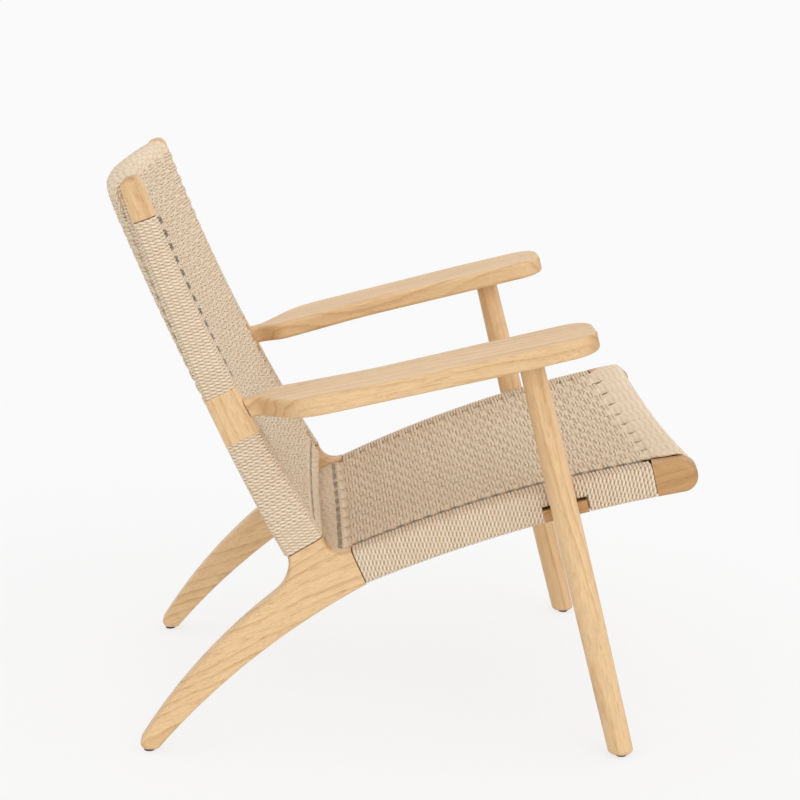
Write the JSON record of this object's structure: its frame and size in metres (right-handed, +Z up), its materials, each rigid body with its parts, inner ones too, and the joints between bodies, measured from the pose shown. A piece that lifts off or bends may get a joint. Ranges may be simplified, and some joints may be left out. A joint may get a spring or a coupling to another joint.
{
  "type": "armchair",
  "caption": "Low wooden easy chair with sabre back legs, paddle arms and a seat and back of woven paper cord",
  "frame": {"origin": "on the floor, under the middle of the chair's outline", "axes": "+Z up, -Y is the way the sitter faces, +X is the sitter's left"},
  "size_m": [0.705, 0.7314, 0.7253],
  "materials": {
    "wood": "pale open-grained hardwood, oiled, satin",
    "cord": "natural twisted paper cord, matte",
    "glide": "dark grey nylon, matte",
    "pin": "bright steel"
  },
  "bodies": {
    "root": {"armrest_left": "wood", "armrest_right": "wood", "back_bottom_rail": "wood", "back_bottom_wrap": "cord", "back_front_weave": "cord", "back_post_left": "wood", "back_post_right": "wood", "back_post_wrap_left": "cord", "back_post_wrap_right": "cord", "back_rear_weave": "cord", "back_top_rail": "wood", "back_top_wrap": "cord", "front_glide_left": "glide", "front_glide_right": "glide", "front_leg_dowels": "wood", "front_leg_left": "wood", "front_leg_right": "wood", "glide_pins": "pin", "heel_block_left": "wood", "heel_block_right": "wood", "rear_glide_left": "glide", "rear_glide_right": "glide", "rear_leg_left": "wood", "rear_leg_right": "wood", "seat_front_rail": "wood", "seat_front_wrap": "cord", "seat_rear_rail": "wood", "seat_rear_wrap": "cord", "seat_side_rail_left": "wood", "seat_side_rail_right": "wood", "seat_side_wrap_left": "cord", "seat_side_wrap_right": "cord", "seat_top_weave": "cord", "seat_under_weave": "cord"}
  },
  "joints": []
}
